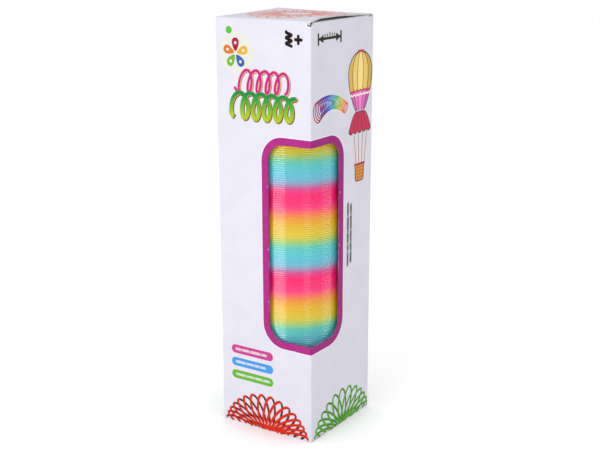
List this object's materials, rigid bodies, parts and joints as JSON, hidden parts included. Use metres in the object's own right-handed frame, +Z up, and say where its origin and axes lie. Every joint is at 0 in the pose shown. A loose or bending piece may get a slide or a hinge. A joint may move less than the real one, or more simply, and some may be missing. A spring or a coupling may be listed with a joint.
{
  "type": "boxed spring coil toy",
  "caption": "Rainbow plastic coil toy standing closed up in a tall square window carton with a tuck lid and dust flaps.",
  "frame": {"origin": "middle of the carton's underside", "axes": "+Z up along the carton and the coil, -Y out of the face with the title and the lid's crease, +X out of the other window face"},
  "size_m": [0.083, 0.083, 0.316],
  "materials": {
    "printed_board": "printed white board",
    "plain_board": "uncoated white board",
    "coil_plastic": "gloss, rainbow bands"
  },
  "bodies": {
    "carton": {"front_panel": "printed_board", "right_panel": "printed_board", "back_panel": "printed_board", "left_panel": "printed_board", "glue_flap": "plain_board", "bottom_outer_flap": "plain_board", "bottom_inner_flap": "plain_board", "bottom_left_dust_flap": "plain_board", "bottom_right_dust_flap": "plain_board"},
    "lid": {"top_lid": "printed_board"},
    "tongue": {"top_tongue": "plain_board"},
    "left_dust_flap": {"top_left_dust_flap": "plain_board"},
    "right_dust_flap": {"top_right_dust_flap": "plain_board"},
    "spring": {"spring_turns_1": "coil_plastic"},
    "spring_run_2": {"spring_turns_2": "coil_plastic"},
    "spring_run_3": {"spring_turns_3": "coil_plastic"},
    "spring_run_4": {"spring_turns_4": "coil_plastic"},
    "spring_run_5": {"spring_turns_5": "coil_plastic"},
    "spring_top": {"spring_turns_6": "coil_plastic"}
  },
  "joints": [
    {"name": "top_lid_hinge", "type": "hinge", "parent": "carton", "child": "lid", "pos_m": [0, -0.041, 0.3155], "axis": [1, 0, 0], "range_deg": [0, 180]},
    {"name": "top_tongue_fold", "type": "hinge", "parent": "lid", "child": "tongue", "pos_m": [0, 0.0388, 0.3155], "axis": [-1, 0, 0], "range_deg": [0, 45]},
    {"name": "left_dust_flap_hinge", "type": "hinge", "parent": "carton", "child": "left_dust_flap", "pos_m": [-0.041, 0, 0.31445], "axis": [0, -1, 0], "range_deg": [0, 108]},
    {"name": "right_dust_flap_hinge", "type": "hinge", "parent": "carton", "child": "right_dust_flap", "pos_m": [0.041, 0, 0.31445], "axis": [0, 1, 0], "range_deg": [0, 108]},
    {"name": "spring_spin", "type": "hinge", "parent": "carton", "child": "spring", "pos_m": [0, 0, 0.0031], "axis": [0, 0, 1], "continuous": true},
    {"name": "spring_stretch", "type": "slide", "parent": "spring", "child": "spring_top", "axis": [0, 0, 1], "range_m": [0, 0.0105]},
    {"name": "spring_spread_2", "type": "slide", "parent": "spring", "child": "spring_run_2", "axis": [0, 0, 1], "range_m": [0, 0.0021]},
    {"name": "spring_spread_3", "type": "slide", "parent": "spring", "child": "spring_run_3", "axis": [0, 0, 1], "range_m": [0, 0.0042]},
    {"name": "spring_spread_4", "type": "slide", "parent": "spring", "child": "spring_run_4", "axis": [0, 0, 1], "range_m": [0, 0.0063]},
    {"name": "spring_spread_5", "type": "slide", "parent": "spring", "child": "spring_run_5", "axis": [0, 0, 1], "range_m": [0, 0.0084]}
  ],
  "couplings": [
    {"joint": "top_tongue_fold", "follows": "top_lid_hinge", "ratio": 0.25},
    {"joint": "left_dust_flap_hinge", "follows": "top_lid_hinge", "ratio": 0.6},
    {"joint": "right_dust_flap_hinge", "follows": "top_lid_hinge", "ratio": 0.6},
    {"joint": "spring_spread_2", "follows": "spring_stretch", "ratio": 0.2},
    {"joint": "spring_spread_3", "follows": "spring_stretch", "ratio": 0.4},
    {"joint": "spring_spread_4", "follows": "spring_stretch", "ratio": 0.6},
    {"joint": "spring_spread_5", "follows": "spring_stretch", "ratio": 0.8}
  ]
}
